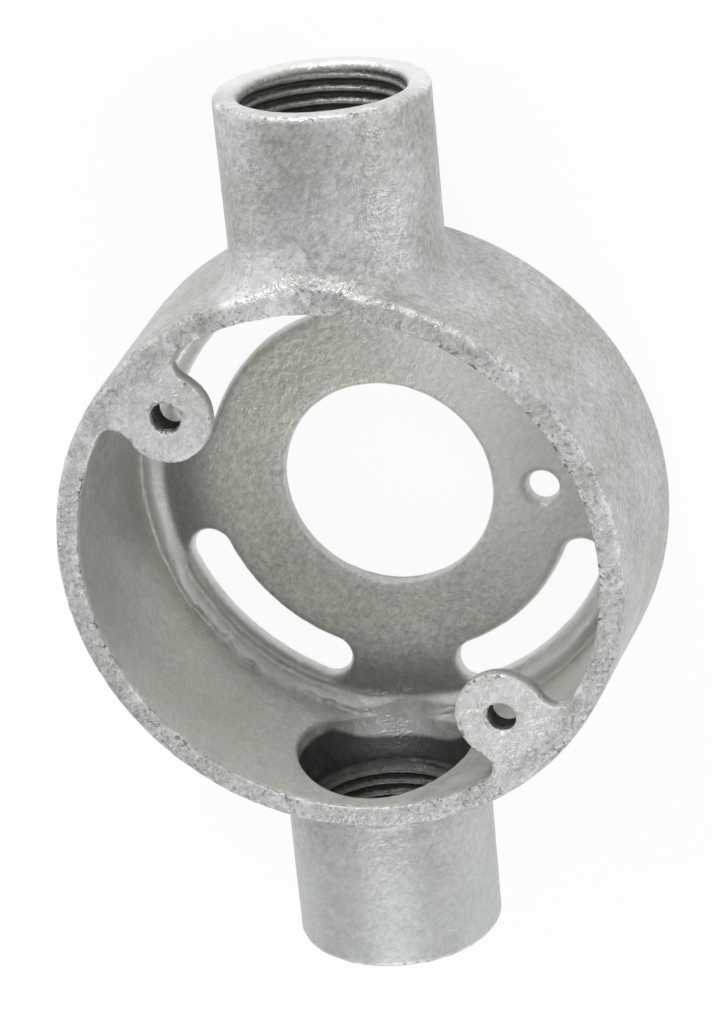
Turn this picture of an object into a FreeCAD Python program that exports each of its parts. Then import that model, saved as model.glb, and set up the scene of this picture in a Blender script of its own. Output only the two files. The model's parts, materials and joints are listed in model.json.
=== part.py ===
"""Circular conduit box, through pattern with an open back, for 20 mm steel conduit.

One casting in malleable iron: a shallow drafted drum, open at the front, with two
threaded spouts in line on its sides, two lugs for the lid screws inside the rim, and
a thin pierced back.  The back is ringed by a low ledge against the wall.

Axes: the back lies on Z = 0 and the box opens toward +Z; the spouts run along Y;
the origin is the centre of the back's outer face.  Sizes are in millimetres.
"""
import FreeCAD, Part
import math
import os
import Sketcher

# Each size of the casting, with what it is.
SIZES = {
    "depth": (26.0, "back face to rim face"),
    "rim_radius": (33.2, "outside of the drum at the rim"),
    "rim_wall": (2.8, "width of the rim face"),
    "rim_bevel": (0.7, "bevel on the rim's outer edge"),
    "base_radius": (34.2, "outside of the drum where its drafted wall would meet the back"),
    "base_round": (3.0, "rounding of the back's outer edge"),
    "floor_thick": (2.1, "thickness of the pierced back"),
    "ledge_width": (2.4, "ledge between the wall and the back plate"),
    "ledge_rise": (0.9, "height of the ledge above the back plate"),
    "ledge_slope": (0.6, "run of the ledge's sloping inner edge"),
    "spout_radius": (12.25, "outside of a spout"),
    "spout_reach": (52.6, "box centre to the mouth of a spout"),
    "spout_height": (12.55, "back face to the axis of the spouts"),
    "spout_blend": (2.5, "fillet where a spout leaves the drum"),
    "mouth_bevel": (0.9, "bevel on a mouth's outer edge"),
    "thread_bore": (9.19, "radius of the thread's crests, M20 x 1.5"),
    "mouth_chamfer": (0.9, "lead-in chamfer at the mouth"),
    "relief_radius": (10.4, "radius of the plain bore behind the thread"),
    "relief_length": (6.0, "length of the plain bore, from the inside wall to the thread"),
    "bore_lip": (0.6, "bevel where the bore enters the box"),
    "lid_pitch": (50.8, "centres of the two lid screws"),
    "lug_angle": (135.0, "bearing of the first lug from +X"),
    "lug_radius": (5.35, "radius of a lug's boss"),
    "lug_thick": (4.0, "thickness of a lug below the rim face"),
    "lug_neck": (2.0, "hollow radius where a lug meets the wall"),
    "lug_web": (8.0, "width of the web that ties a lug's boss to the wall"),
    "lug_under": (1.8, "bevel under a lug"),
    "lug_bite": (0.06, "depth that a lug's necks bite into the wall"),
    "lug_root": (0.7, "depth that a lug runs into the wall"),
    "lid_hole": (3.3, "tapping drill for the M4 lid screws"),
    "centre_hole": (25.5, "diameter of the round hole in the back"),
    "slot_path": (24.7, "radius of the slots' centre line"),
    "slot_width": (5.4, "width of the curved slots"),
    "slot_half_span": (23.2, "half the angle between a slot's end centres"),
    "earth_offset": (18.8, "box centre to the earth screw hole"),
    "earth_hole": (4.2, "diameter of the earth screw hole"),
    "overrun": (1.0, "how far a cutting profile runs past the metal"),
    "spare_rim": (8.0, "metal above the rim, cut off after the spouts are blended"),
}


def number(text):
    """Value of a sum such as 'rim_radius - rim_wall' or 'lid_pitch / 2'."""
    total = 0.0
    term = None
    sign = 1.0
    action = None
    for word in text.split():
        if word in ("+", "-"):
            if term is not None:
                total += sign * term
            sign = 1.0 if word == "+" else -1.0
            term = None
        elif word in ("*", "/"):
            action = word
        else:
            value = SIZES[word][0] if word in SIZES else float(word)
            if action == "*":
                term *= value
            elif action == "/":
                term /= value
            else:
                term = value
            action = None
    return total + sign * term


def linked(text):
    """The same sum as an expression that reads the sheet."""
    words = []
    for word in text.split():
        words.append("Sizes." + word if word in SIZES else word)
    return " ".join(words)


def fill_sheet(doc):
    sheet = doc.addObject("Spreadsheet::Sheet", "Sizes")
    for row, (alias, (value, note)) in enumerate(SIZES.items(), start=1):
        sheet.set("A%d" % row, note)
        sheet.set("B%d" % row, str(value))
        sheet.setAlias("B%d" % row, alias)
    doc.recompute()
    return sheet


def origin_item(body, role):
    """A plane or axis of the body's own origin."""
    for item in body.Origin.OriginFeatures:
        if item.Role == role:
            return item
    raise ValueError(role)


def new_sketch(body, plane, name):
    sketch = body.newObject("Sketcher::SketchObject", name)
    sketch.AttachmentSupport = [(origin_item(body, plane), "")]
    sketch.MapMode = "FlatFace"
    return sketch


def bind(sketch, constraint, name, text):
    """Add a dimension, name it and tie it to the sheet."""
    index = sketch.addConstraint(constraint)
    sketch.renameConstraint(index, name)
    sketch.setExpression("Constraints." + name, linked(text))
    return index


def place_point(sketch, name, geo, end, across, up):
    """Hold one point of the sketch at the given distances from the origin."""
    for kind, text, axis in (("DistanceX", across, -2), ("DistanceY", up, -1)):
        value = number(text)
        if text == "0":
            sketch.addConstraint(Sketcher.Constraint("PointOnObject", geo, end, axis))
        elif value > 0:
            held = Sketcher.Constraint(kind, -1, 1, geo, end, value)
            bind(sketch, held, name + kind[-1], text)
        else:
            raise ValueError("points lie on the positive side: " + name)


def draw_outline(sketch, corners):
    """Closed outline of straight lines through corners given as (name, across, up)."""
    ends = [FreeCAD.Vector(number(c[1]), number(c[2]), 0) for c in corners]
    count = len(corners)
    lines = []
    for i in range(count):
        j = (i + 1) % count
        lines.append(sketch.addGeometry(Part.LineSegment(ends[i], ends[j]), False))
    for i in range(count):
        join(sketch, lines[i], 2, lines[(i + 1) % count], 1)
    for line, (name, across, up) in zip(lines, corners):
        place_point(sketch, name, line, 1, across, up)


def join(sketch, first, first_end, second, second_end, kind="Coincident"):
    """Two ends meet, and with kind Tangent they meet smoothly."""
    sketch.addConstraint(Sketcher.Constraint(kind, first, first_end, second, second_end))


def need_change(body, before, grows, name):
    """A feature that adds or cuts nothing is an error."""
    after = body.Shape.Volume
    if grows and after <= before + 0.01:
        raise RuntimeError(name + " adds nothing")
    if not grows and after >= before - 0.01:
        raise RuntimeError(name + " cuts nothing")


def finish_feature(doc, body, before, grows, feature):
    doc.recompute()
    need_change(body, before, grows, feature.Name)
    return feature


def volume(body):
    return body.Shape.Volume if not body.Shape.isNull() else 0.0


def revolve(doc, body, kind, sketch, axis, name):
    """Revolution or Groove through a full turn about an axis of the sketch."""
    before = volume(body)
    feature = body.newObject("PartDesign::" + kind, name)
    feature.Profile = sketch
    feature.ReferenceAxis = (sketch, [axis])
    feature.Angle = 360.0
    sketch.Visibility = False
    return finish_feature(doc, body, before, kind == "Revolution", feature)


def extrude(doc, body, kind, sketch, name, length, flipped):
    """Pad or Pocket to a length read from the sheet."""
    before = volume(body)
    feature = body.newObject("PartDesign::" + kind, name)
    feature.Profile = sketch
    feature.setExpression("Length", linked(length))
    feature.Reversed = flipped
    sketch.Visibility = False
    return finish_feature(doc, body, before, kind == "Pad", feature)


def dress_edges(doc, body, kind, base, names, size, name):
    """Fillet or Chamfer the named edges of the feature that came before."""
    if not names:
        raise RuntimeError(name + " finds no edges")
    measure = "Radius" if kind == "Fillet" else "Size"
    feature = body.newObject("PartDesign::" + kind, name)
    feature.Base = (base, names)
    setattr(feature, measure, number(size))
    feature.setExpression(measure, linked(size))
    doc.recompute()
    return feature


def turn_copies(doc, body, originals, count, name):
    """Repeat features round the box's own axis."""
    before = volume(body)
    pattern = body.newObject("PartDesign::PolarPattern", name)
    pattern.Originals = originals
    pattern.Axis = (origin_item(body, "Z_Axis"), [""])
    pattern.Angle = 360.0
    pattern.Occurrences = count
    body.Tip = pattern
    doc.recompute()
    if abs(body.Shape.Volume - before) < 0.01:
        raise RuntimeError(name + " repeats nothing")
    return pattern


def points_along(edge):
    """Five points spread along an edge, ends left out."""
    first = edge.FirstParameter
    span = edge.LastParameter - first
    return [edge.valueAt(first + span * part) for part in (0.1, 0.3, 0.5, 0.7, 0.9)]


def edges_where(shape, test):
    """Names of the edges all of whose sampled points pass the test."""
    names = []
    for index, edge in enumerate(shape.Edges, start=1):
        if edge.Length > 1e-4 and all(test(point) for point in points_along(edge)):
            names.append("Edge%d" % index)
    return names


def from_spout_axis(point):
    return math.hypot(point.x, point.z - number("spout_height"))


def from_box_axis(point):
    return math.hypot(point.x, point.y)


def draft_guide(sketch):
    """Guide line up the drafted outside of the drum, from the back to the rim."""
    foot = FreeCAD.Vector(number("base_radius"), 0, 0)
    head = FreeCAD.Vector(number("rim_radius"), number("depth"), 0)
    guide = sketch.addGeometry(Part.LineSegment(foot, head), True)
    place_point(sketch, "GuideFoot", guide, 1, "base_radius", "0")
    place_point(sketch, "GuideHead", guide, 2, "rim_radius", "depth")
    return guide


def draft_direction():
    """Unit vectors up the drafted wall and square to it, outward."""
    up = FreeCAD.Vector(number("rim_radius - base_radius"), number("depth"), 0).normalize()
    return up, FreeCAD.Vector(up.y, -up.x, 0)


def add_drum(doc, body):
    """Solid drafted drum, left too tall so that the spouts blend cleanly into it."""
    sketch = new_sketch(body, "XZ_Plane", "DrumSection")
    guide = draft_guide(sketch)
    up, out = draft_direction()
    foot = FreeCAD.Vector(number("base_radius"), 0, 0)
    top = number("depth + spare_rim")
    edge = number("base_round")
    # the rounding touches the back and the wall: its centre is one radius from both
    hub = FreeCAD.Vector(foot.x - (edge + out.y * edge) / out.x, edge, 0)
    wall_foot = hub + out * edge
    wall_head = foot + up * (top / up.y)
    centre = FreeCAD.Vector(0, 0, 0)
    flat_end = FreeCAD.Vector(hub.x, 0, 0)
    axis_top = FreeCAD.Vector(0, top, 0)
    circle = Part.Circle(hub, FreeCAD.Vector(0, 0, 1), edge)
    flat = sketch.addGeometry(Part.LineSegment(centre, flat_end), False)
    turn = math.atan2(out.y, out.x)
    corner = sketch.addGeometry(Part.ArcOfCircle(circle, -math.pi / 2, turn), False)
    wall = sketch.addGeometry(Part.LineSegment(wall_foot, wall_head), False)
    lid = sketch.addGeometry(Part.LineSegment(wall_head, axis_top), False)
    axis = sketch.addGeometry(Part.LineSegment(axis_top, centre), False)
    join(sketch, flat, 1, -1, 1)
    sketch.addConstraint(Sketcher.Constraint("Horizontal", flat))
    join(sketch, flat, 2, corner, 1, "Tangent")
    join(sketch, corner, 2, wall, 1, "Tangent")
    bind(sketch, Sketcher.Constraint("Radius", corner, edge), "BaseRound", "base_round")
    sketch.addConstraint(Sketcher.Constraint("Tangent", wall, guide))
    join(sketch, wall, 2, lid, 1)
    sketch.addConstraint(Sketcher.Constraint("Horizontal", lid))
    join(sketch, lid, 2, axis, 1)
    sketch.addConstraint(Sketcher.Constraint("Vertical", axis))
    join(sketch, axis, 2, -1, 1)
    held = Sketcher.Constraint("DistanceY", -1, 1, axis, 1, top)
    bind(sketch, held, "Height", "depth + spare_rim")
    doc.recompute()
    return revolve(doc, body, "Revolution", sketch, "V_Axis", "Drum")


def spout_section(body, name):
    """Sketch on the plane of the spout axis, with that axis as a guide line."""
    sketch = new_sketch(body, "YZ_Plane", name)
    height = number("spout_height")
    start = FreeCAD.Vector(0, height, 0)
    end = FreeCAD.Vector(10, height, 0)
    axis = sketch.addGeometry(Part.LineSegment(start, end), True)
    sketch.addConstraint(Sketcher.Constraint("Horizontal", axis))
    sketch.addConstraint(Sketcher.Constraint("PointOnObject", axis, 1, -2))
    sketch.addConstraint(Sketcher.Constraint("DistanceX", axis, 1, axis, 2, 10.0))
    held = Sketcher.Constraint("DistanceY", -1, 1, axis, 1, height)
    bind(sketch, held, "AxisHeight", "spout_height")
    return sketch


def add_spout(doc, body):
    """First spout: a round bar from the box centre to the mouth."""
    sketch = spout_section(body, "SpoutSection")
    corners = [
        ("AxisStart", "0", "spout_height"),
        ("AxisEnd", "spout_reach", "spout_height"),
        ("MouthTop", "spout_reach", "spout_height + spout_radius"),
        ("RootTop", "0", "spout_height + spout_radius"),
    ]
    draw_outline(sketch, corners)
    doc.recompute()
    return revolve(doc, body, "Revolution", sketch, "Axis0", "Spout")


def blend_spouts(doc, body, base):
    """Fillet the closed seam where each spout leaves the drum."""
    radius = number("spout_radius")
    reach = number("spout_reach")
    core = number("spout_radius")

    def on_seam(point):
        on_spout = abs(from_spout_axis(point) - radius) < 1e-3
        return on_spout and core < abs(point.y) < reach - 0.5

    names = []
    for name in edges_where(base.Shape, on_seam):
        edge = base.Shape.getElement(name)
        ends = [edge.valueAt(edge.FirstParameter), edge.valueAt(edge.LastParameter)]
        along = abs(ends[0].x - ends[1].x) < 1e-6 and abs(ends[0].z - ends[1].z) < 1e-6
        if not along:
            names.append(name)
    return dress_edges(doc, body, "Fillet", base, names, "spout_blend", "SpoutBlend")


def trim_rim(doc, body):
    """Cut the spare metal off flat at the rim and bevel the rim's outer edge."""
    sketch = new_sketch(body, "XZ_Plane", "RimTrim")
    far = "rim_radius + spout_blend + overrun"
    top = "depth + spare_rim + overrun"
    corners = [
        ("AxisFoot", "0", "depth"),
        ("OuterFoot", far, "depth"),
        ("OuterTop", far, top),
        ("AxisTop", "0", top),
    ]
    draw_outline(sketch, corners)
    doc.recompute()
    trimmed = revolve(doc, body, "Groove", sketch, "V_Axis", "RimCut")
    level = number("depth")

    def on_rim(point):
        return abs(point.z - level) < 1e-3

    names = edges_where(trimmed.Shape, on_rim)
    return dress_edges(doc, body, "Chamfer", trimmed, names, "rim_bevel", "RimBevel")


def bevel_mouths(doc, body, base):
    """Bevelled outer edge at each mouth."""
    radius = number("spout_radius")
    reach = number("spout_reach")

    def on_mouth(point):
        return abs(from_spout_axis(point) - radius) < 1e-3 and abs(abs(point.y) - reach) < 1e-3

    names = edges_where(base.Shape, on_mouth)
    return dress_edges(doc, body, "Chamfer", base, names, "mouth_bevel", "MouthBevel")


def cut_cavity(doc, body):
    """The round space inside, down to the ledge and the back plate."""
    sketch = new_sketch(body, "XZ_Plane", "CavitySection")
    ledge = "rim_radius - rim_wall - ledge_width"
    top = "floor_thick + ledge_rise"
    corners = [
        ("FloorCentre", "0", "floor_thick"),
        ("LedgeFoot", ledge, "floor_thick"),
        ("LedgeCrest", ledge + " + ledge_slope", top),
        ("WallFoot", "rim_radius - rim_wall", top),
        ("WallTop", "rim_radius - rim_wall", "depth + overrun"),
        ("AxisTop", "0", "depth + overrun"),
    ]
    draw_outline(sketch, corners)
    doc.recompute()
    return revolve(doc, body, "Groove", sketch, "V_Axis", "Cavity")


def lug_sketch(body, name, height):
    """Sketch level with the given height, its X axis pointing at the first lug."""
    sketch = new_sketch(body, "XY_Plane", name)
    turn = FreeCAD.Rotation(FreeCAD.Vector(0, 0, 1), number("lug_angle"))
    sketch.AttachmentOffset = FreeCAD.Placement(FreeCAD.Vector(0, 0, number(height)), turn)
    sketch.setExpression("AttachmentOffset.Base.z", linked(height))
    sketch.setExpression("AttachmentOffset.Rotation.Angle", linked("lug_angle"))
    return sketch


def draw_lug(sketch):
    """Plan of a lug: a round boss whose hollow necks run tangent into the wall."""
    wall = number("rim_radius - rim_wall + lug_bite")
    centre = number("lid_pitch / 2")
    boss = number("lug_radius")
    neck = number("lug_neck")
    back = number("rim_radius - rim_wall + lug_root")
    up = FreeCAD.Vector(0, 0, 1)
    # centre of the hollow: touches the boss from outside and the wall from inside
    far = wall - neck
    near = boss + neck
    cosine = (centre * centre + far * far - near * near) / (2 * centre * far)
    bearing = math.acos(cosine)
    hollow = FreeCAD.Vector(far * math.cos(bearing), far * math.sin(bearing), 0)
    hub = FreeCAD.Vector(centre, 0, 0)
    to_hollow = math.atan2(hollow.y, hollow.x - centre)
    touch = FreeCAD.Vector(wall * math.cos(bearing), wall * math.sin(bearing), 0)

    guide = sketch.addGeometry(Part.Circle(FreeCAD.Vector(0, 0, 0), up, wall), True)
    sketch.addConstraint(Sketcher.Constraint("Coincident", guide, 3, -1, 1))
    held = Sketcher.Constraint("Radius", guide, wall)
    bind(sketch, held, "WallRadius", "rim_radius - rim_wall + lug_bite")

    round_hub = Part.Circle(hub, up, boss)
    front = sketch.addGeometry(Part.ArcOfCircle(round_hub, to_hollow, 2 * math.pi - to_hollow), False)
    sketch.addConstraint(Sketcher.Constraint("PointOnObject", front, 3, -1))
    bind(sketch, Sketcher.Constraint("DistanceX", -1, 1, front, 3, centre), "Pitch", "lid_pitch / 2")
    bind(sketch, Sketcher.Constraint("Radius", front, boss), "BossRadius", "lug_radius")

    circle_up = Part.Circle(hollow, up, neck)
    upper = sketch.addGeometry(Part.ArcOfCircle(circle_up, to_hollow - math.pi, bearing), False)
    mirrored = FreeCAD.Vector(hollow.x, -hollow.y, 0)
    circle_down = Part.Circle(mirrored, up, neck)
    lower = sketch.addGeometry(
        Part.ArcOfCircle(circle_down, -bearing, math.pi - to_hollow), False
    )
    sketch.addConstraint(Sketcher.Constraint("Tangent", front, 1, upper, 1))
    sketch.addConstraint(Sketcher.Constraint("Tangent", front, 2, lower, 2))
    bind(sketch, Sketcher.Constraint("Radius", upper, neck), "NeckRadius", "lug_neck")
    sketch.addConstraint(Sketcher.Constraint("Equal", upper, lower))
    sketch.addConstraint(Sketcher.Constraint("Tangent", upper, 2, guide))
    sketch.addConstraint(Sketcher.Constraint("Tangent", lower, 1, guide))

    corner_up = FreeCAD.Vector(back, touch.y, 0)
    corner_down = FreeCAD.Vector(back, -touch.y, 0)
    touch_down = FreeCAD.Vector(touch.x, -touch.y, 0)
    side_up = sketch.addGeometry(Part.LineSegment(touch, corner_up), False)
    closing = sketch.addGeometry(Part.LineSegment(corner_up, corner_down), False)
    side_down = sketch.addGeometry(Part.LineSegment(corner_down, touch_down), False)
    sketch.addConstraint(Sketcher.Constraint("Coincident", upper, 2, side_up, 1))
    sketch.addConstraint(Sketcher.Constraint("Coincident", side_up, 2, closing, 1))
    sketch.addConstraint(Sketcher.Constraint("Coincident", closing, 2, side_down, 1))
    sketch.addConstraint(Sketcher.Constraint("Coincident", side_down, 2, lower, 1))
    sketch.addConstraint(Sketcher.Constraint("Horizontal", side_up))
    sketch.addConstraint(Sketcher.Constraint("Horizontal", side_down))
    sketch.addConstraint(Sketcher.Constraint("Vertical", closing))
    held = Sketcher.Constraint("DistanceX", -1, 1, closing, 1, back)
    bind(sketch, held, "RootDepth", "rim_radius - rim_wall + lug_root")


def draw_web(sketch):
    """Plan of the straight web from the middle of a boss into the wall."""
    near = number("lid_pitch / 2")
    far = number("rim_radius - rim_wall + lug_root")
    side = number("lug_web / 2")
    corners = [(near, -side), (far, -side), (far, side), (near, side)]
    ends = [FreeCAD.Vector(across, up, 0) for across, up in corners]
    low = sketch.addGeometry(Part.LineSegment(ends[0], ends[1]), False)
    back = sketch.addGeometry(Part.LineSegment(ends[1], ends[2]), False)
    high = sketch.addGeometry(Part.LineSegment(ends[2], ends[3]), False)
    front = sketch.addGeometry(Part.LineSegment(ends[3], ends[0]), False)
    join(sketch, low, 2, back, 1)
    join(sketch, back, 2, high, 1)
    join(sketch, high, 2, front, 1)
    join(sketch, front, 2, low, 1)
    sketch.addConstraint(Sketcher.Constraint("Horizontal", low))
    sketch.addConstraint(Sketcher.Constraint("Horizontal", high))
    sketch.addConstraint(Sketcher.Constraint("Symmetric", back, 1, back, 2, -1))
    bind(sketch, Sketcher.Constraint("DistanceX", -1, 1, front, 1, near), "Hub", "lid_pitch / 2")
    held = Sketcher.Constraint("DistanceX", -1, 1, back, 1, far)
    bind(sketch, held, "RootDepth", "rim_radius - rim_wall + lug_root")
    bind(sketch, Sketcher.Constraint("DistanceY", back, 1, back, 2, 2 * side), "Width", "lug_web")
    sketch.addConstraint(Sketcher.Constraint("Vertical", front))


def add_lugs(doc, body):
    """Two lid lugs, each a boss on a web, flush with the rim and bevelled underneath."""
    web_plan = lug_sketch(body, "LugWebPlan", "depth")
    draw_web(web_plan)
    doc.recompute()
    web = extrude(doc, body, "Pad", web_plan, "LugWeb", "lug_thick", True)
    sketch = lug_sketch(body, "LugPlan", "depth")
    draw_lug(sketch)
    doc.recompute()
    lug = extrude(doc, body, "Pad", sketch, "Lug", "lug_thick", True)
    pair = turn_copies(doc, body, [web, lug], 2, "LugPair")
    under = number("depth - lug_thick")
    inside = number("rim_radius - rim_wall")

    def below_lug(point):
        return abs(point.z - under) < 1e-3 and from_box_axis(point) < inside - 1e-3

    names = edges_where(pair.Shape, below_lug)
    return dress_edges(doc, body, "Chamfer", pair, names, "lug_under", "LugUnder")


def drill_lugs(doc, body):
    """Tapping holes for the two lid screws."""
    sketch = lug_sketch(body, "LidHoles", "depth")
    up = FreeCAD.Vector(0, 0, 1)
    half = number("lid_pitch / 2")
    radius = number("lid_hole / 2")
    hole = sketch.addGeometry(Part.Circle(FreeCAD.Vector(half, 0, 0), up, radius), False)
    sketch.addConstraint(Sketcher.Constraint("PointOnObject", hole, 3, -1))
    bind(sketch, Sketcher.Constraint("DistanceX", -1, 1, hole, 3, half), "Pitch", "lid_pitch / 2")
    bind(sketch, Sketcher.Constraint("Radius", hole, radius), "HoleRadius", "lid_hole / 2")
    doc.recompute()
    drilled = extrude(doc, body, "Pocket", sketch, "LidHole", "lug_thick + overrun", False)
    return turn_copies(doc, body, [drilled], 2, "LidHolePair")


def bore_spouts(doc, body):
    """Stepped bore of a spout, from the cavity out to the chamfered mouth, and its mirror."""
    sketch = spout_section(body, "BoreSection")
    start = "rim_radius - rim_wall - ledge_width - overrun"
    step = "rim_radius - rim_wall + relief_length"
    corners = [
        ("InnerAxis", start, "spout_height"),
        ("OuterAxis", "spout_reach + overrun", "spout_height"),
        ("LeadOut", "spout_reach + overrun", "spout_height + thread_bore + mouth_chamfer + overrun"),
        ("LeadIn", "spout_reach - mouth_chamfer", "spout_height + thread_bore"),
        ("ThreadEnd", step, "spout_height + thread_bore"),
        ("ReliefEnd", step, "spout_height + relief_radius"),
        ("ReliefStart", start, "spout_height + relief_radius"),
    ]
    draw_outline(sketch, corners)
    doc.recompute()
    bore = revolve(doc, body, "Groove", sketch, "Axis0", "Bore")
    return mirror_copy(doc, body, [bore], "BorePair")


def mirror_copy(doc, body, originals, name):
    """Repeat features on the other side of the box's lengthwise middle."""
    before = volume(body)
    pair = body.newObject("PartDesign::Mirrored", name)
    pair.Originals = originals
    pair.MirrorPlane = (origin_item(body, "XZ_Plane"), [""])
    body.Tip = pair
    doc.recompute()
    if abs(body.Shape.Volume - before) < 0.01:
        raise RuntimeError(name + " repeats nothing")
    return pair


def bevel_bore_lips(doc, body, base):
    """Bevelled lip where each bore breaks through the inside wall."""
    wall = number("rim_radius - rim_wall")
    relief = number("relief_radius")

    def on_lip(point):
        on_wall = abs(from_box_axis(point) - wall) < 1e-3
        return on_wall and abs(from_spout_axis(point) - relief) < 1e-3

    names = edges_where(base.Shape, on_lip)
    return dress_edges(doc, body, "Chamfer", base, names, "bore_lip", "BoreLip")


def draw_hole(sketch, name, offset, diameter):
    """A round hole on the sketch's X axis, or at its centre."""
    radius = number(diameter + " / 2")
    centre = FreeCAD.Vector(number(offset), 0, 0)
    hole = sketch.addGeometry(Part.Circle(centre, FreeCAD.Vector(0, 0, 1), radius), False)
    if offset == "0":
        sketch.addConstraint(Sketcher.Constraint("Coincident", hole, 3, -1, 1))
    else:
        sketch.addConstraint(Sketcher.Constraint("PointOnObject", hole, 3, -1))
        held = Sketcher.Constraint("DistanceX", -1, 1, hole, 3, number(offset))
        bind(sketch, held, name + "Offset", offset)
    bind(sketch, Sketcher.Constraint("Radius", hole, radius), name + "Radius", diameter + " / 2")


def pierce_back(doc, body):
    """Round centre hole and the small earth screw hole beside it."""
    sketch = new_sketch(body, "XY_Plane", "BackHoles")
    draw_hole(sketch, "Centre", "0", "centre_hole")
    draw_hole(sketch, "Earth", "earth_offset", "earth_hole")
    doc.recompute()
    return extrude(doc, body, "Pocket", sketch, "BackPiercing", "floor_thick + overrun", True)


def draw_slot(sketch):
    """A curved slot with round ends, centred on the sketch's diagonal."""
    path = number("slot_path")
    half = number("slot_width / 2")
    span = math.radians(number("slot_half_span"))
    up = FreeCAD.Vector(0, 0, 1)
    zero = FreeCAD.Vector(0, 0, 0)
    inner = sketch.addGeometry(Part.ArcOfCircle(Part.Circle(zero, up, path - half), -span, span), False)
    outer = sketch.addGeometry(Part.ArcOfCircle(Part.Circle(zero, up, path + half), -span, span), False)
    near = FreeCAD.Vector(path * math.cos(span), -path * math.sin(span), 0)
    far = FreeCAD.Vector(path * math.cos(span), path * math.sin(span), 0)
    low_cap = Part.ArcOfCircle(Part.Circle(near, up, half), math.pi - span, 2 * math.pi - span)
    high_cap = Part.ArcOfCircle(Part.Circle(far, up, half), span, span + math.pi)
    low = sketch.addGeometry(low_cap, False)
    high = sketch.addGeometry(high_cap, False)
    for arc in (inner, outer):
        sketch.addConstraint(Sketcher.Constraint("Coincident", arc, 3, -1, 1))
    sketch.addConstraint(Sketcher.Constraint("Tangent", inner, 1, low, 1))
    sketch.addConstraint(Sketcher.Constraint("Tangent", low, 2, outer, 1))
    sketch.addConstraint(Sketcher.Constraint("Tangent", outer, 2, high, 1))
    sketch.addConstraint(Sketcher.Constraint("Tangent", high, 2, inner, 2))
    sketch.addConstraint(Sketcher.Constraint("Vertical", low, 3, high, 3))
    held = Sketcher.Constraint("Radius", inner, path - half)
    bind(sketch, held, "InnerRadius", "slot_path - slot_width / 2")
    bind(sketch, Sketcher.Constraint("Radius", low, half), "EndRadius", "slot_width / 2")
    ray = sketch.addGeometry(Part.LineSegment(zero, far), True)
    sketch.addConstraint(Sketcher.Constraint("Coincident", ray, 1, -1, 1))
    sketch.addConstraint(Sketcher.Constraint("Coincident", ray, 2, high, 3))
    held = Sketcher.Constraint("Angle", ray, span)
    bind(sketch, held, "HalfSpan", "slot_half_span")


def slot_back(doc, body):
    """Four curved slots round the centre hole, midway between the box's axes."""
    sketch = new_sketch(body, "XY_Plane", "SlotPlan")
    turn = FreeCAD.Rotation(FreeCAD.Vector(0, 0, 1), 45.0)
    sketch.AttachmentOffset = FreeCAD.Placement(FreeCAD.Vector(0, 0, 0), turn)
    draw_slot(sketch)
    doc.recompute()
    slot = extrude(doc, body, "Pocket", sketch, "Slot", "floor_thick + overrun", True)
    return turn_copies(doc, body, [slot], 4, "SlotRing")


def build_box(doc):
    """The whole casting, in the order a pattern maker would think of it."""
    body = doc.addObject("PartDesign::Body", "ConduitBox")
    body.Label = "conduit_box"
    doc.recompute()
    add_drum(doc, body)
    spout = add_spout(doc, body)
    spouts = mirror_copy(doc, body, [spout], "SpoutPair")
    blended = blend_spouts(doc, body, spouts)
    trimmed = trim_rim(doc, body)
    bevel_mouths(doc, body, trimmed)
    cut_cavity(doc, body)
    bored = bore_spouts(doc, body)
    bevel_bore_lips(doc, body, bored)
    add_lugs(doc, body)
    drill_lugs(doc, body)
    pierce_back(doc, body)
    slot_back(doc, body)
    doc.recompute()
    return body


def check(doc, body):
    """Stop when any feature failed or the casting is not one sound solid."""
    for item in doc.Objects:
        if "Invalid" in item.State or "Error" in item.State:
            raise RuntimeError("failed: " + item.Name)
    shape = body.Shape
    if shape.isNull() or not shape.isValid():
        raise RuntimeError("bad shape: " + body.Label)
    if len(shape.Solids) != 1:
        raise RuntimeError("not one solid: " + body.Label)


def main():
    doc = FreeCAD.newDocument("ConduitBoxCasting")
    fill_sheet(doc)
    body = build_box(doc)
    check(doc, body)
    os.makedirs("parts", exist_ok=True)
    body.Shape.exportStep(os.path.join("parts", body.Label + ".step"))


main()
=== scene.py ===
"""Looks of the conduit box: one galvanised iron casting, meshed finely from its own sizes.

The casting is described as a distance field in millimetres, in the part's own frame.  The
field is meshed, every point is then brought exactly onto it, and the cast skin is pressed
inward.  Lengths that the frame knows are read from it; the others are named below.
"""
import json
import math

import bpy
import numpy as np
import openvdb
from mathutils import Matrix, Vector


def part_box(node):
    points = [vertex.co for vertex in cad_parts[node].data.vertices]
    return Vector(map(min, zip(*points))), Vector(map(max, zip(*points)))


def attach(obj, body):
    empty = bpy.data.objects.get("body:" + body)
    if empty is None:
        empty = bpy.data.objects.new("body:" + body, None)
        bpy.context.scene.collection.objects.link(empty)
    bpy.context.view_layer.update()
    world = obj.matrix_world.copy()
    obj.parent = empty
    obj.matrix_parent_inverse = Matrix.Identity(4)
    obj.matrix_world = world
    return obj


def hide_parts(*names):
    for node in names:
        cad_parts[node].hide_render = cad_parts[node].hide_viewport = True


MM = 0.001
NODE = "conduit_box"

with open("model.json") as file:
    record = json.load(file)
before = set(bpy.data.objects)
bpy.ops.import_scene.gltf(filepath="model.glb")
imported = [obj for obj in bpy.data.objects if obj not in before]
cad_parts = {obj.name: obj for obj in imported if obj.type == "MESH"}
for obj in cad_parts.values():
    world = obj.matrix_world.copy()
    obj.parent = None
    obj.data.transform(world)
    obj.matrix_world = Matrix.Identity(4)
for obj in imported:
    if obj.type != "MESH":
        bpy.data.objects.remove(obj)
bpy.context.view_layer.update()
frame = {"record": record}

# --- sizes in millimetres --------------------------------------------------------------

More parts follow.
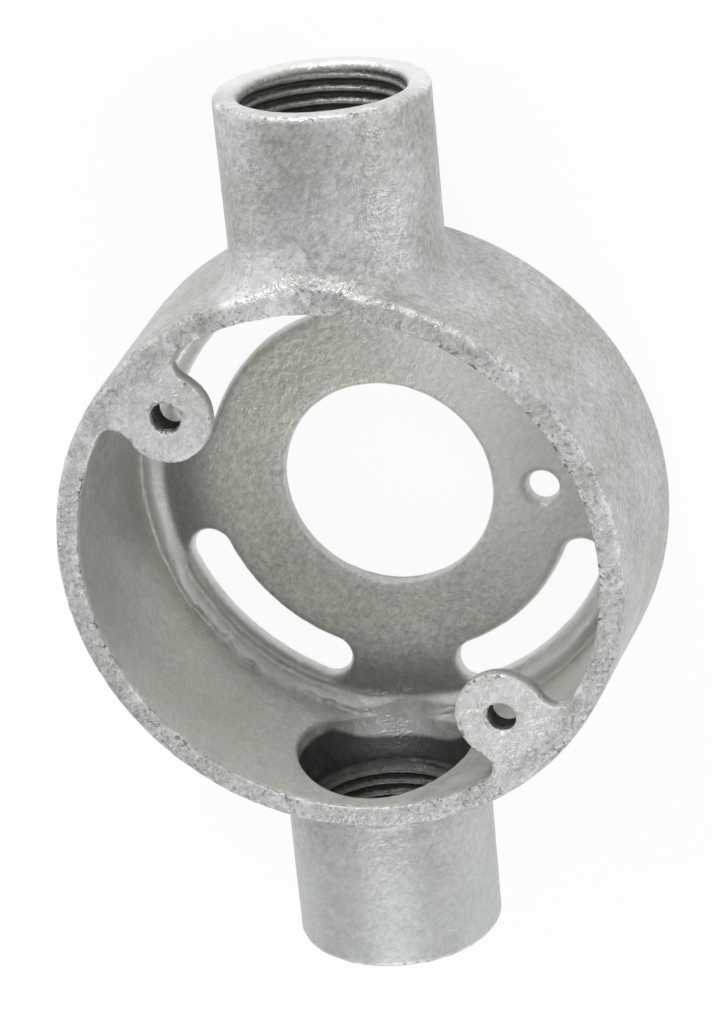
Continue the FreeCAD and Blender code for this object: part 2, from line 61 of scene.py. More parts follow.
low, high = (np.array(corner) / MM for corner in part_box(NODE))
mounts = {mount["name"]: mount for mount in frame["record"]["mounts"]}


def mount_place(name):
    return np.array(mounts[name]["pos_m"]) / MM


DEPTH = high[2]
REACH = high[1]
SPOUT_HEIGHT = mount_place("spout_plus_y")[2]
THREAD_BORE = mounts["spout_plus_y"]["dims"]["r_mm"]
LUG_CENTRE = mounts["lid_screws"]["dims"]["pcd_mm"] / 2
LID_HOLE = mounts["lid_screws"]["dims"]["hole_r_mm"]
CENTRE_HOLE = mounts["centre_hole"]["dims"]["r_mm"]
EARTH_HOLE = mounts["earth_screw_hole"]["dims"]["r_mm"]
EARTH_OFFSET = mount_place("earth_screw_hole")[0]
SLOT_PATH = math.hypot(*mount_place("fixing_slots")[:2])

RIM_RADIUS = 33.2
BASE_RADIUS = 34.2
WALL_INSIDE = 30.4
BASE_ROUND = 3.0
RIM_ROUND = 0.85
RIM_INNER_ROUND = 0.3
FLOOR = 2.1
LEDGE_RISE = 1.0
LEDGE_FROM = 27.2
ROUGH_BEARING = math.radians(-128)
SPOUT_RADIUS = 12.25
SPOUT_BLEND = 2.5
TIGHTER = 1.5
MOUTH_ROUND = 0.6
MOUTH_LEAN = 0.3
PITCH = 1.5
THREAD_DEPTH = 0.81
RELIEF_RADIUS = 10.4
RELIEF_END = 36.2
RUNOUT = 0.7
LIP_REACH = 2.6
LEAD_IN = 0.6
LUG_BEARING = math.radians(135)
LUG_RADIUS = 5.5
LUG_NECK = 2.0
LUG_THICK = 4.0
LUG_ROOT = 1.2
LUG_UNDER = 2.8
LID_PITCH = 0.7
LID_THREAD_DEPTH = 0.38
SLOT_HALF_WIDTH = 2.7
SLOT_HALF_SPAN = math.radians(23.2)
HOLE_ROUND = 1.0
BACK_TAPER = 0.3
SKIN_MEAN = 0.09

WARM_ZINC = (0.43, 0.43, 0.41)
COOL_ZINC = (0.47, 0.48, 0.475)
INNER_ZINC = (0.62, 0.63, 0.58)
DRAINED_ZINC = (0.55, 0.565, 0.57)
# Painted shade.
SHADED_ZINC = (0.22, 0.235, 0.215)
# Painted light, and the bright of worn edges.
LIT_AND_WORN_ZINC = (0.85, 0.85, 0.84)
PIT_COLOUR = (0.09, 0.09, 0.085)
BORE_SHADE_COLOUR = (0.05, 0.058, 0.053)

FLOOR_HALF = 3.0
FLOOR_GAP = 0.0002
FLOOR_WHITE = 0.93
CAMERA_PLACE = (0.10997, 0.16084, 0.36996)
CAMERA_TURN = (-24.582, 14.881, -5.317)
CAMERA_LENS = 123.68

VOXEL = 0.25
FACES = 192000


# --- fields ------------------------------------------------------------------------------
# A field is negative inside the metal and grows by one per millimetre outward.

def both(a, b, radius):
    """Where two fields overlap, the outer edge rounded."""
    corner = np.hypot(np.maximum(a + radius, 0), np.maximum(b + radius, 0))
    return np.minimum(np.maximum(a, b), -radius) + corner


def either(a, b, radius):
    """Two fields joined, the inner corner filled to a radius."""
    corner = np.hypot(np.maximum(radius - a, 0), np.maximum(radius - b, 0))
    return np.maximum(np.minimum(a, b), radius) - corner


def ramp(value, start, end):
    """Smooth step from 0 at start to 1 at end."""
    part = np.clip((value - start) / (end - start), 0, 1)
    return part * part * (3 - 2 * part)


def wander(x, y, z, cell, seed, size=48):
    """Smooth random values from -1 to 1 that change over the given cell."""
    table = np.random.default_rng(seed).uniform(-1, 1, (size, size, size)).astype(np.float32)
    spots = []
    for axis in (x, y, z):
        place = axis / cell
        base = np.floor(place)
        part = (place - base).astype(np.float32)
        spots.append((base.astype(np.int64) % size, part * part * (3 - 2 * part)))
    (ix, fx), (iy, fy), (iz, fz) = spots
    jx, jy, jz = (ix + 1) % size, (iy + 1) % size, (iz + 1) % size

    def along_x(b, c):
        return table[ix, b, c] * (1 - fx) + table[jx, b, c] * fx

    near = along_x(iy, iz) * (1 - fy) + along_x(jy, iz) * fy
    far = along_x(iy, jz) * (1 - fy) + along_x(jy, jz) * fy
    return near * (1 - fz) + far * fz


def side_of_drum(r, z):
    """Drafted outside wall of the drum."""
    draft = (BASE_RADIUS - RIM_RADIUS) / DEPTH
    return (r - BASE_RADIUS + draft * z) * math.cos(math.atan(draft))


def ledge_roughness(x, y):
    """1 where the ledge was cast ragged, 0 where it is smooth."""
    return ramp(np.cos(np.arctan2(y, x) - ROUGH_BEARING), 0.72, 0.97)


def floor_height(x, y, r):
    """Top of the back plate with the uneven cast ledge that rings it."""
    rough = ledge_roughness(x, y)
    foot = 27.3 + 1.3 * rough + 0.25 * wander(x, y, 0 * x, 4.0, 12)
    crest = foot + 1.7 - 0.5 * rough
    lumps = wander(x, y, 0 * x, 1.2, 11) * (0.05 + 0.4 * rough)
    rise = ramp(r, foot, crest) * (LEDGE_RISE + lumps)
    gutter = (0.6 - 0.35 * rough) * ramp(r, crest + 0.2, WALL_INSIDE)
    crease = 0.22 * rough * (1 - ramp(np.abs(r - foot), 0.1, 0.6))
    return FLOOR + rise - gutter - crease


def thread_groove(turn, along, pitch, depth):
    """Depth of a 60 degree thread's groove at a phase given by turn and place."""
    phase = np.mod(along / pitch - turn / (2 * math.pi), 1.0)
    off_crest = np.abs(phase - 0.5)
    return depth * np.clip((off_crest - 0.125) / 0.3125, 0, 1)


def lug_frame(x, y):
    """Coordinates along and across the nearer lug's own axis."""
    along = x * math.cos(LUG_BEARING) + y * math.sin(LUG_BEARING)
    across = -x * math.sin(LUG_BEARING) + y * math.cos(LUG_BEARING)
    turned = np.where(along < 0, -1.0, 1.0)
    return along * turned, across * turned


def lug_plan(x, y, r):
    """Plan of the metal inside the rim: wall and lug bosses, joined by hollow necks.

    A neck is an arc that touches the boss and the wall.  It rules in the wedge that runs from
    the arc's centre to the two touching points.
    """
    along, across = lug_frame(x, y)
    across = np.abs(across)
    boss = np.hypot(along - LUG_CENTRE, across) - LUG_RADIUS
    wall_gap = WALL_INSIDE - LUG_NECK
    boss_gap = LUG_RADIUS + LUG_NECK
    mid = (wall_gap ** 2 + LUG_CENTRE ** 2 - boss_gap ** 2) / (2 * LUG_CENTRE)
    side = math.sqrt(wall_gap ** 2 - mid ** 2)
    out, over = along - mid, across - side
    past_boss = (LUG_CENTRE - mid) * over + side * out
    past_wall = out * side - over * mid
    neck = LUG_NECK - np.hypot(out, over)
    in_wedge = (past_boss >= 0) & (past_wall >= 0)
    return np.where(in_wedge, neck, np.minimum(boss, WALL_INSIDE - r))


def mouth_lean(z):
    """How far a mouth falls short of the full reach: most at the side of the back."""
    return MOUTH_LEAN * np.clip(0.5 - 0.5 * (z - SPOUT_HEIGHT) / SPOUT_RADIUS, 0, 1)


def bore(x, y, z):
    """Air inside the spouts: plain relief, M20 x 1.5 thread, lead-in chamfer."""
    along = np.abs(y)
    out = np.hypot(x, z - SPOUT_HEIGHT)
    turn = np.arctan2(np.where(y < 0, -x, x), z - SPOUT_HEIGHT)
    start = np.where(y < 0, 1.0, 0.22) * PITCH
    inside = REACH - mouth_lean(z) - along
    depth = THREAD_DEPTH * ramp(inside, 0.7, 1.6)
    radius = THREAD_BORE + thread_groove(turn, along + start, PITCH, depth)
    radius += (RELIEF_RADIUS - radius) * ramp(-along, -RELIEF_END - RUNOUT, -RELIEF_END)
    radius = np.maximum(radius, THREAD_BORE + LEAD_IN - 0.6 * inside)
    inward = WALL_INSIDE - 3.2 - along
    return np.maximum(out - radius, inward)


def lid_holes(x, y, z):
    """Air in the two tapped lid holes."""
    along, across = lug_frame(x, y)
    out = np.hypot(along - LUG_CENTRE, across)
    turn = np.arctan2(across, along - LUG_CENTRE)
    radius = LID_HOLE + thread_groove(turn, z, LID_PITCH, LID_THREAD_DEPTH)
    radius = np.maximum(radius, LID_HOLE + 0.3 - (DEPTH - z))
    return np.maximum(out - radius, DEPTH - LUG_THICK - 2.0 - z)


def back_openings(x, y, z, r):
    """Air in the back plate: centre hole, earth screw hole and four curved slots."""
    centre = r - CENTRE_HOLE
    earth = np.hypot(x - EARTH_OFFSET, y) - EARTH_HOLE
    quarter = math.pi / 2
    off_slot = np.abs(np.mod(np.arctan2(y, x), quarter) - quarter / 2)
    beyond = np.maximum(off_slot - SLOT_HALF_SPAN, 0)
    chord_out = r * np.cos(beyond) - SLOT_PATH
    chord_side = r * np.sin(beyond)
    slot = np.hypot(chord_out, chord_side) - SLOT_HALF_WIDTH
    taper = BACK_TAPER * (1 - ramp(z, 0, FLOOR))
    plan = np.minimum(np.minimum(centre, earth + taper), slot + taper) + SKIN_MEAN
    return np.maximum(plan, z - FLOOR - 3.0)


def casting(x, y, z):
    """The whole casting without its cast skin."""
    r = np.hypot(x, y)
    drum = both(side_of_drum(r, z), -z, BASE_ROUND)
    tube = np.hypot(x, z - SPOUT_HEIGHT) - SPOUT_RADIUS
    spouts = both(tube, np.abs(y) - REACH + mouth_lean(z), MOUTH_ROUND)
    blend = SPOUT_BLEND - TIGHTER * ramp(z, 20, 24) * ramp(-y, 0, 10)
    metal = either(drum, spouts, blend)
    cavity = both(r - WALL_INSIDE, floor_height(x, y, r) - z, 0.5)
    metal = np.maximum(metal, -cavity)
    plan = np.maximum(lug_plan(x, y, r), r - WALL_INSIDE - LUG_ROOT)
    lugs = both(plan, DEPTH - LUG_THICK - z, LUG_UNDER)
    metal = either(metal, lugs, 0.35)
    rounding = np.where(r > WALL_INSIDE + 1.5, RIM_ROUND, RIM_INNER_ROUND)
    metal = both(metal, z - DEPTH, rounding)
    metal = both(metal, -bore(x, y, z), 0.45)
    softness = 0.25 + (HOLE_ROUND - 0.25) * ramp(z, 0.2, 1.3)
    metal = both(metal, -back_openings(x, y, z, r), softness)
    return np.maximum(metal, -lid_holes(x, y, z))


# --- mesh ----------------------------------------------------------------------------------

def sample_field():
    """The field on a regular grid, worked out a slab at a time."""
    margin = 2 * VOXEL
    axes = [np.arange(a - margin, b + margin + VOXEL, VOXEL) for a, b in zip(low, high)]
    grid = np.empty([len(axis) for axis in axes], np.float32)
    slab = 24
    for start in range(0, len(axes[1]), slab):
        part = axes[1][start:start + slab]
        x, y, z = np.meshgrid(axes[0], part, axes[2], indexing="ij")
        grid[:, start:start + slab, :] = casting(x, y, z)
    origin = np.array([axis[0] for axis in axes])
    return grid, origin


def slope(points, step=0.02):
    """Gradient of the field at points."""
    x, y, z = points.T
    parts = []
    for shift in np.eye(3) * step:
        ahead = casting(x + shift[0], y + shift[1], z + shift[2])
        behind = casting(x - shift[0], y - shift[1], z - shift[2])
        parts.append((ahead - behind) / (2 * step))
    return np.stack(parts, axis=1)


def settle(points, rounds=4):
    """Move points onto the field's zero surface, each by no more than a cell."""
    start = points
    for _ in range(rounds):
        away = casting(*points.T)
        direction = slope(points)
        steep = np.maximum((direction ** 2).sum(1), 0.2)
        move = np.clip(away / steep, -0.5 * VOXEL, 0.5 * VOXEL)
        points = points - direction * move[:, None]
    drift = points - start
    length = np.maximum(np.linalg.norm(drift, axis=1), 1e-9)
    return start + drift * np.minimum(1, 0.8 * VOXEL / length)[:, None]


def edge_nearness(points):
    """1 on the worn outer edges of rim, lugs and mouths, fading to 0 within a millimetre."""
    x, y, z = points.T
    r = np.hypot(x, y)
    top = z - DEPTH
    outer = np.hypot(side_of_drum(r, z), top)
    inner = np.hypot(lug_plan(x, y, r), top)
    tube = np.hypot(x, z - SPOUT_HEIGHT)
    mouth = np.hypot(tube - SPOUT_RADIUS, np.abs(y) - REACH)
    nearest = np.minimum(np.minimum(outer, inner), mouth)
    return 1 - ramp(nearest, 0.2, 1.0)


def on_rim(points):
    """1 on the rim and lug faces, 0 elsewhere."""
    return ramp(points[:, 2], DEPTH - 1.0, DEPTH - 0.3)


def pits(points):
    """Small holes left in the skin, thickest on the rim and along the edges."""
    x, y, z = points.T
    spots = ramp(wander(x, y, z, 0.62, 21), 0.42, 0.85)
    patches = ramp(wander(x, y, z, 3.4, 22), -0.45, 0.5)
    crowd = 0.16 + 0.84 * np.maximum(on_rim(points) * 0.8, edge_nearness(points))
    return spots * patches * crowd


def skin(points):
    """How far the cast skin lies below the true surface."""
    x, y, z = points.T
    broad = 0.5 + 0.5 * wander(x, y, z, 7.0, 31)
    peel = 0.5 + 0.5 * wander(x, y, z, 1.5, 32)
    grain = 0.5 + 0.5 * wander(x, y, z, 0.7, 33)
    ragged = edge_nearness(points) * (0.5 + 0.5 * wander(x, y, z, 1.0, 34))
    return 0.09 * broad + 0.05 * peel + 0.035 * grain + 0.13 * ragged + 0.16 * pits(points)


def build_mesh():
    """Mesh of the casting with its skin, in metres."""
    grid, origin = sample_field()
    volume = openvdb.FloatGrid(background=float(3 * VOXEL))
    volume.copyFromArray(np.clip(grid, -3 * VOXEL, 3 * VOXEL))
    points, quads = volume.convertToQuads(isovalue=0.0)
    points = settle(points.astype(np.float64) * VOXEL + origin)
    normal = slope(points)
    normal /= np.linalg.norm(normal, axis=1)[:, None]
    points = np.clip(points - normal * skin(points)[:, None], low, high)
    mesh = bpy.data.meshes.new("casting")
    mesh.from_pydata((points * MM).tolist(), [], quads.tolist())
    mesh.update()
    return mesh


def reduce_mesh(piece):
    """Bring the triangle count down while keeping the shape."""
    piece.data.calc_loop_triangles()
    count = len(piece.data.loop_triangles)
    decimate = piece.modifiers.new("Decimate", "DECIMATE")
    decimate.ratio = min(1.0, FACES / count)
    evaluated = piece.evaluated_get(bpy.context.evaluated_depsgraph_get())
    mesh = bpy.data.meshes.new_from_object(evaluated)
    piece.modifiers.clear()
    piece.data = mesh


# --- shares --------------------------------------------------------------------------------
# A share tells the material how much of a finish or a tone a point has.  "light" is painted light
# and "shaded" is painted shade, both fitted by place to one photographed side; they aren't wear or colour
# of the metal.

def most(*shares):
    """The largest of several shares at each point."""
    return np.maximum.reduce(shares)


def bored_share(x, y, z):
    """1 inside the spouts, less on the crests of the thread; it places the painted shade in the bores."""
    along = np.abs(y)
    from_axis = np.hypot(x, z - SPOUT_HEIGHT)
    share = ramp(SPOUT_RADIUS - 1.2 - from_axis, 0, 0.6)
    share *= ramp(REACH - mouth_lean(z) - along, 0.8, 1.2)
    share *= ramp(np.hypot(x, y), WALL_INSIDE - 0.2, WALL_INSIDE + 0.5)
    groove = ramp(from_axis, THREAD_BORE + 0.1, THREAD_BORE + 0.45)
    threaded = ramp(along, RELIEF_END, RELIEF_END + 0.8)
    crest_light = np.where(y < 0, 0.22, 0.6)
    return share * (1 - crest_light * threaded * (1 - groove))


def tapped_share(x, y, z):
    """How much painted shade the two lid holes get, just below the face of the lugs."""
    near = (1 - ramp(np.abs(lid_holes(x, y, z)), 0.2, 0.5)) * ramp(DEPTH - z, 0.5, 1.0)
    return 0.8 * near * ramp(z, DEPTH - LUG_THICK - 1.0, DEPTH - LUG_THICK)


def lug_share(r, z):
    """1 on the lid lugs."""
    return ramp(WALL_INSIDE + 0.6 - r, 0, 1.5) * ramp(z, DEPTH - LUG_THICK - 0.3, DEPTH - LUG_THICK + 0.5)


def bead_share(r, z):
    """1 on the top of the ledge along the foot of the wall, where a painted highlight lies."""
    share = ramp(r, LEDGE_FROM, LEDGE_FROM + 1.0) * ramp(WALL_INSIDE - r, 0.1, 0.8)
    return share * ramp(FLOOR + 1.6 - z, 0, 0.5) * ramp(z, FLOOR - 0.2, FLOOR + 0.5)


def sill_share(x, y, z, r):
    """1 on the lower edges of the openings in the back, half on the centre hole's; painted light lies
    there.
    """
    share = 1 - ramp(np.abs(back_openings(x, y, z, r)), 0.2, 0.7)
    share *= ramp(FLOOR - z, 0.1, 1.6) * ramp(z, -0.1, 0.15)
    return share * (0.5 + 0.5 * ramp(r, 15, 20))


def lip_share(x, y, z):
    """1 on the side of the back where a spout opens into the box, which gets painted light."""
    along = np.abs(y)
    low_side = ramp(SPOUT_HEIGHT - z, 0.55 * RELIEF_RADIUS, 0.95 * RELIEF_RADIUS)
    share = low_side * ramp(along, 27.5, 30) * (1 - ramp(along, 34, 36))
    return share * ramp(RELIEF_RADIUS + 1.2 - np.hypot(x, z - SPOUT_HEIGHT), 0, 0.5)


def fillet_share(x, y, z, r):
    """1 on the shoulder between the rim and the +Y spout, which gets a painted highlight and pits."""
    share = ramp(y, 27, 30) * ramp(z, DEPTH - 7, DEPTH - 3)
    return share * (1 - ramp(r, 36, 39)) * ramp(9 - np.abs(x + 4), 0, 4)


def surface_shares(points):
    """Every share that the material reads, by name."""
    x, y, z = points.T
    r = np.hypot(x, y)
    edge = edge_nearness(points)
    face = on_rim(points)
    bored = bored_share(x, y, z)
    tapped = tapped_share(x, y, z)
    lug = lug_share(r, z)
    bead = bead_share(r, z)
    fillet = fillet_share(x, y, z, r)
    hollow = ramp(WALL_INSIDE + 1.2 - r, 0, 1.0) * ramp(DEPTH - z, 0.3, 1.2) * ramp(z, 0.5, 1.5)
    plate = hollow * ramp(FLOOR + 0.9 - z, 0, 0.4) * (1 - ramp(r, LEDGE_FROM + 0.2, LEDGE_FROM + 1.0))
    smooth = ramp(-y, 24, 44) * (1 - bored)

    mouth = ramp(np.abs(y), REACH - 0.9, REACH - 0.5) * (1 - bored)
    back_half = ramp(SPOUT_HEIGHT + 4 - z, 0, 6)
    # Painted light: the lower edges of the back openings, highlights on the mouth rings, lighter rim and
    # lug faces, the lit top of the ledge, the plate's lit side, the lit lip of the spouts and a highlight
    # on the shoulder.
    light = most(
        sill_share(x, y, z, r),
        (0.35 + 0.4 * back_half) * mouth,
        face * (0.12 + 0.2 * lug + 0.15 * lug * ramp(-y, 0, 5)),
        0.55 * bead,
        0.55 * plate * ramp(x + 0.35 * y, 2, 17),
        0.8 * lip_share(x, y, z),
        0.4 * fillet * ramp(-x, -2, 4),
    )

    # Painted shade: the plate's corner on the side away from the light, the inner wall darker towards the
    # left and the rim, the sides of the lugs, a streak down the +Y spout and the right side of the -Y
    # spout.
    lee = ramp(np.cos(np.arctan2(y, x) - ROUGH_BEARING), -0.1, 0.6)
    wall = ramp(r, WALL_INSIDE - 0.8, WALL_INSIDE - 0.3) * ramp(z, FLOOR + 1.0, FLOOR + 3.0)
    wall_tone = 0.08 + 0.32 * ramp(-x + 0.2 * y, 22, 30) + 0.2 * ramp(z, 11, 20)
    lug_side = lug * (1 - face) * ramp(WALL_INSIDE - 0.6 - r, 0, 0.5)
    shaded = most(
        hollow * 0.85 * lee * ramp(r, 19, 26) * plate * ramp(z, 1.2, 1.9),
        hollow * wall * wall_tone,
        hollow * 0.7 * lug_side,
        0.13 * ramp(y, 36, 44) * ramp(z, 14, 20) * ramp(7 - np.abs(x + 1), 0, 6) * (1 - bored),
        0.13 * smooth * ramp(x, 1, 10),
    )
    calmer = most(0.62 * smooth, 0.45 * hollow - 0.3 * plate)
    return {
        "pitted": most(edge, 0.5 * fillet, 0.5 * face * (1 - 0.8 * lug)),
        "hollow": most(hollow, bored, tapped),
        "bored": bored,
        "tapped": tapped,
        "drained": 0.85 * smooth,
        "light": light,
        "shaded": shaded,
        # Bright worn edges, and a painted glint on the shoulder and the ragged ledge crest.
        "wear_and_glint": most(edge, 0.8 * fillet, bead * ledge_roughness(x, y)),
        "speckled": 1 + 0.3 * most(edge, face) - calmer,
    }


def store_shares(piece):
    """Keep the shares on the piece's points."""
    mesh = piece.data
    points = np.empty(len(mesh.vertices) * 3)
    mesh.vertices.foreach_get("co", points)
    for name, values in surface_shares(points.reshape(-1, 3) / MM).items():
        layer = mesh.attributes.new(name, "FLOAT", "POINT")
        layer.data.foreach_set("value", values.astype(np.float32))


# --- material ------------------------------------------------------------------------------

def add(tree, kind, **settings):
    node = tree.nodes.new(kind)
    for name, value in settings.items():
        setattr(node, name, value)
    return node


def noise(tree, scale, detail, rough=0.55, distort=0.0, place=None):
    """A noise texture in real size: scale is the number of cells per metre."""
    if place is None:
        texture = tree.nodes.get("Place") or add(tree, "ShaderNodeTexCoord", name="Place")
        place = texture.outputs["Object"]
    node = add(tree, "ShaderNodeTexNoise")
    tree.links.new(place, node.inputs["Vector"])
    node.inputs["Scale"].default_value = scale
    node.inputs["Detail"].default_value = detail
    node.inputs["Roughness"].default_value = rough
    node.inputs["Distortion"].default_value = distort
    return node.outputs["Fac"]


def slanted(tree, turn, stretch):
    """Object coordinates turned about Z and squeezed along the new Y, for short strokes."""
    texture = tree.nodes.get("Place") or add(tree, "ShaderNodeTexCoord", name="Place")
    mapping = add(tree, "ShaderNodeMapping", vector_type="TEXTURE")
    mapping.inputs["Rotation"].default_value = (0, 0, turn)
    mapping.inputs["Scale"].default_value = (1, stretch, 1)
    tree.links.new(texture.outputs["Object"], mapping.inputs["Vector"])
    return mapping.outputs["Vector"]


def spread(tree, source, start, end, low_value=0.0, high_value=1.0):
    """Map a range of a value onto another, clamped."""
    node = add(tree, "ShaderNodeMapRange", interpolation_type="SMOOTHSTEP")
    tree.links.new(source, node.inputs["Value"])
    node.inputs["From Min"].default_value = start
    node.inputs["From Max"].default_value = end
    node.inputs["To Min"].default_value = low_value
    node.inputs["To Max"].default_value = high_value
    return node.outputs["Result"]


def sums(tree, action, a, b):
    node = add(tree, "ShaderNodeMath", operation=action)
    for socket, value in zip(node.inputs, (a, b)):
        if isinstance(value, float):
            socket.default_value = value
        else:
            tree.links.new(value, socket)
    return node.outputs[0]


def blend_colour(tree, share, under, over):
    """Mix two colours by a share."""
    node = add(tree, "ShaderNodeMix", data_type="RGBA")
    for value, socket in ((share, 0), (under, 6), (over, 7)):
        if isinstance(value, tuple):
            node.inputs[socket].default_value = value + (1.0,)
        elif isinstance(value, float):
            node.inputs[socket].default_value = value
        else:
            tree.links.new(value, node.inputs[socket])
    return node.outputs[2]


def share_of(tree, name):
    return add(tree, "ShaderNodeAttribute", attribute_name=name).outputs["Fac"]


def swing(tree, source, amount):
    """A noise value as a brightening or darkening about zero."""
    return sums(tree, "MULTIPLY", sums(tree, "SUBTRACT", source, 0.5), amount)


def in_the_dark(tree):
    """Share of painted shade: the tapped holes, and the bores past their lip.

    The lip reaches further in on the side of the back.
    """
    texture = tree.nodes.get("Place") or add(tree, "ShaderNodeTexCoord", name="Place")
    parts = add(tree, "ShaderNodeSeparateXYZ")
    tree.links.new(texture.outputs["Object"], parts.inputs[0])
    along = sums(tree, "ABSOLUTE", parts.outputs["Y"], 0.0)
    near = (SPOUT_HEIGHT - 0.95 * RELIEF_RADIUS) * MM
    far = (SPOUT_HEIGHT - 0.55 * RELIEF_RADIUS) * MM
    lip = spread(tree, parts.outputs["Z"], near, far, LIP_REACH * MM, 0.0)
    past = sums(tree, "SUBTRACT", along, lip)
    deep = spread(tree, past, (WALL_INSIDE - 0.4) * MM, (WALL_INSIDE + 0.5) * MM)
    bored = sums(tree, "MULTIPLY", deep, share_of(tree, "bored"))
    return sums(tree, "MAXIMUM", bored, share_of(tree, "tapped"))


def zinc():
    """Hot-dip galvanised iron: mottled dull grey, painted shade in the bores, bright on worn edges, and
    painted light, shade and glints laid on by place.
    """
    material = bpy.data.materials.new("galvanised_iron")
    material.use_nodes = True
    tree = material.node_tree
    shader = tree.nodes["Principled BSDF"]
    clouds = noise(tree, 110, 2)
    mottle = noise(tree, 380, 4, 0.6, 0.4)
    flecks = noise(tree, 1100, 3, 0.6)
    strokes = noise(tree, 1900, 2, 0.5, 0.0, slanted(tree, -0.7, 1.8))
    grain = noise(tree, 4200, 2)

    colour = blend_colour(tree, spread(tree, clouds, 0.35, 0.65), WARM_ZINC, COOL_ZINC)
    colour = blend_colour(tree, share_of(tree, "hollow"), colour, INNER_ZINC)
    colour = blend_colour(tree, share_of(tree, "drained"), colour, DRAINED_ZINC)

    shade = sums(tree, "ADD", swing(tree, mottle, 0.55), swing(tree, clouds, 0.3))
    shade = sums(tree, "ADD", shade, swing(tree, flecks, 0.6))
    shade = sums(tree, "ADD", shade, swing(tree, strokes, 0.8))
    shade = sums(tree, "ADD", shade, swing(tree, grain, 0.5))
    shade = sums(tree, "MULTIPLY", shade, share_of(tree, "speckled"))
    scale = add(tree, "ShaderNodeVectorMath", operation="SCALE")
    tree.links.new(colour, scale.inputs[0])
    tree.links.new(sums(tree, "ADD", shade, 1.0), scale.inputs["Scale"])
    colour = scale.outputs[0]

    # Painted shade by place.
    colour = blend_colour(tree, share_of(tree, "shaded"), colour, SHADED_ZINC)
    # Painted light by place.
    colour = blend_colour(tree, share_of(tree, "light"), colour, LIT_AND_WORN_ZINC)
    # Brightening on worn edges, and painted glints on the shoulder and the ledge crest.
    glint_and_wear = sums(tree, "MULTIPLY", share_of(tree, "wear_and_glint"), spread(tree, mottle, 0.5, 0.62))
    colour = blend_colour(tree, sums(tree, "MULTIPLY", glint_and_wear, 0.55), colour, LIT_AND_WORN_ZINC)
    spots = spread(tree, noise(tree, 2000, 2), 0.56, 0.64)
    patches = spread(tree, noise(tree, 300, 2), 0.42, 0.56, 0.25, 1.0)
    hole = sums(tree, "MULTIPLY", sums(tree, "MULTIPLY", spots, patches), share_of(tree, "pitted"))
    colour = blend_colour(tree, sums(tree, "MULTIPLY", hole, 0.8), colour, PIT_COLOUR)
    # Painted shade in the bores and the lid holes.
    colour = blend_colour(tree, sums(tree, "MULTIPLY", in_the_dark(tree), 0.88), colour, BORE_SHADE_COLOUR)
    tree.links.new(colour, shader.inputs["Base Color"])

    shader.inputs["Metallic"].default_value = 0.55
    rough = spread(tree, mottle, 0.35, 0.7, 0.36, 0.6)
    rough = sums(tree, "MAXIMUM", rough, sums(tree, "MULTIPLY", share_of(tree, "drained"), 0.56))
    tree.links.new(rough, shader.inputs["Roughness"])
    bump = add(tree, "ShaderNodeBump")
    bump.inputs["Strength"].default_value = 0.9
    bump.inputs["Distance"].default_value = 0.00022
    height = sums(tree, "ADD", swing(tree, flecks, 1.0), swing(tree, strokes, 0.3))
    height = sums(tree, "ADD", height, swing(tree, grain, 0.35))
    height = sums(tree, "MULTIPLY", height, share_of(tree, "speckled"))
    height = sums(tree, "SUBTRACT", height, sums(tree, "MULTIPLY", hole, 0.5))
    tree.links.new(height, bump.inputs["Height"])
    tree.links.new(bump.outputs["Normal"], shader.inputs["Normal"])
    return material


# --- the piece -----------------------------------------------------------------------------

casting_piece = bpy.data.objects.new("casting", build_mesh())
bpy.context.scene.collection.objects.link(casting_piece)
reduce_mesh(casting_piece)
store_shares(casting_piece)
casting_piece.data.shade_smooth()
casting_piece.data.materials.clear()
casting_piece.data.materials.append(zinc())
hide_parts(NODE)
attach(casting_piece, "root")


# --- stage, light and camera -----------------------------------------------------------------

def white_floor():
    """A wide white floor under the box; it stays white to the camera but keeps its shadow."""
    mesh = bpy.data.meshes.new("floor")
    half = FLOOR_HALF
    corners = [(-half, -half, 0), (half, -half, 0), (half, half, 0), (-half, half, 0)]
    mesh.from_pydata(corners, [], [(0, 1, 2, 3)])
    floor = bpy.data.objects.new("floor", mesh)
    bpy.context.scene.collection.objects.link(floor)
    material = bpy.data.materials.new("white_floor")
    material.use_nodes = True
    tree = material.node_tree
    tree.nodes.clear()
    paint = add(tree, "ShaderNodeBsdfDiffuse")
    paint.inputs["Color"].default_value = (0.9, 0.9, 0.9, 1)
    glow = add(tree, "ShaderNodeEmission")
    glow.inputs["Strength"].default_value = 1.0
    path = add(tree, "ShaderNodeLightPath")
    seen = add(tree, "ShaderNodeMixShader")
    share = sums(tree, "MAXIMUM", path.outputs["Is Camera Ray"], path.outputs["Is Glossy Ray"])
    tree.links.new(sums(tree, "MULTIPLY", share, FLOOR_WHITE), seen.inputs["Fac"])
    tree.links.new(paint.outputs["BSDF"], seen.inputs[1])
    tree.links.new(glow.outputs["Emission"], seen.inputs[2])
    out = add(tree, "ShaderNodeOutputMaterial")
    tree.links.new(seen.outputs["Shader"], out.inputs["Surface"])
    mesh.materials.append(material)
    floor.location.z = -FLOOR_GAP
    return floor


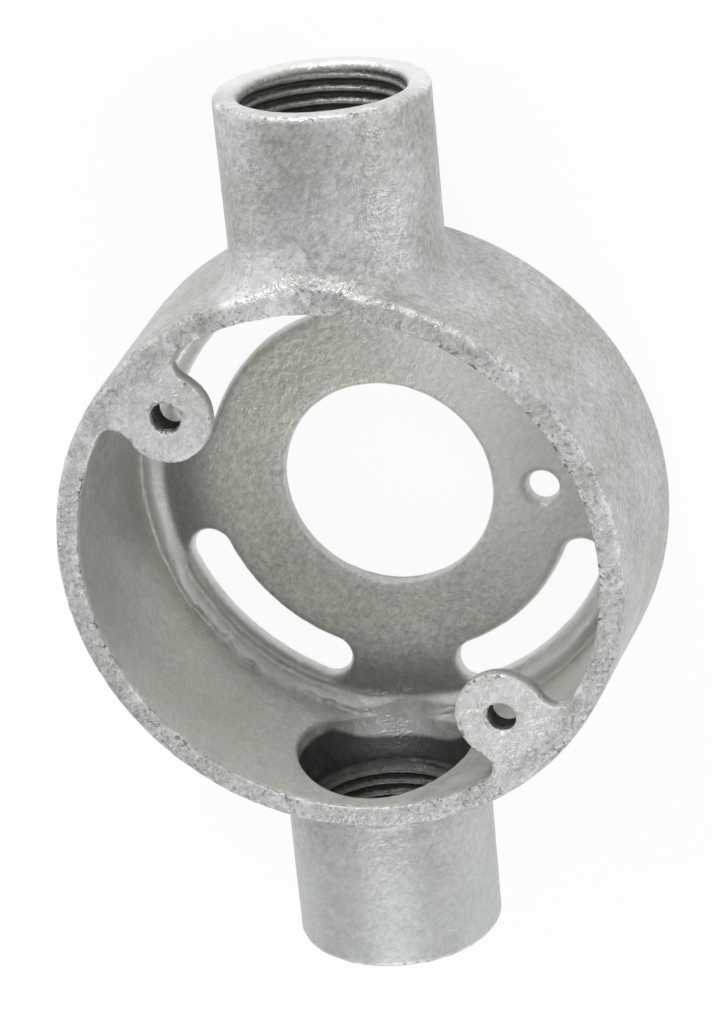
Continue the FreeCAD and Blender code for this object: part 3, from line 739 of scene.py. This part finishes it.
def area_light(name, place, target, size, power):
    lamp = bpy.data.lights.new(name, "AREA")
    lamp.shape = "DISK"
    lamp.size = size
    lamp.energy = power
    holder = bpy.data.objects.new(name, lamp)
    holder.location = place
    aim = Vector(target) - Vector(place)
    holder.rotation_euler = aim.to_track_quat("-Z", "Y").to_euler()
    bpy.context.scene.collection.objects.link(holder)
    return holder


def soft_world(horizon, zenith):
    """White all round to the camera; as light it is brighter near the horizon than above."""
    world = bpy.data.worlds.new("studio")
    world.use_nodes = True
    tree = world.node_tree
    sky = tree.nodes["Background"]
    sky.inputs["Color"].default_value = (1, 1, 1, 1)
    place = add(tree, "ShaderNodeTexCoord")
    parts = add(tree, "ShaderNodeSeparateXYZ")
    tree.links.new(place.outputs["Generated"], parts.inputs[0])
    level = spread(tree, parts.outputs["Z"], 0.15, 0.95, horizon, zenith)
    path = add(tree, "ShaderNodeLightPath")
    share = sums(tree, "MAXIMUM", path.outputs["Is Camera Ray"], path.outputs["Is Transmission Ray"])
    level = sums(tree, "MAXIMUM", level, share)
    tree.links.new(level, sky.inputs["Strength"])
    bpy.context.scene.world = world


def place_camera():
    """Camera at the place and turn solved from the photo."""
    camera = bpy.data.cameras.new("camera")
    camera.sensor_width = 36.0
    camera.lens = CAMERA_LENS
    holder = bpy.data.objects.new("camera", camera)
    holder.location = CAMERA_PLACE
    holder.rotation_euler = [math.radians(angle) for angle in CAMERA_TURN]
    bpy.context.scene.collection.objects.link(holder)
    bpy.context.scene.camera = holder


white_floor()
# The levels below are fitted to the brightness of the photographed side.
soft_world(0.3, 0.6)
area_light("front", (0.05, -0.65, 0.45), (0, 0, 0.01), 0.5, 2.0)
area_light("top", (-0.15, 0.85, 0.25), (0, 0.03, 0.01), 0.4, 5.5)
area_light("left", (-0.8, 0.0, 0.30), (0, 0, 0.01), 0.5, 1.2)
area_light("right", (0.8, 0.0, 0.30), (0, 0, 0.01), 0.5, 2.4)
place_camera()

scene = bpy.context.scene
scene.view_settings.view_transform = "Standard"
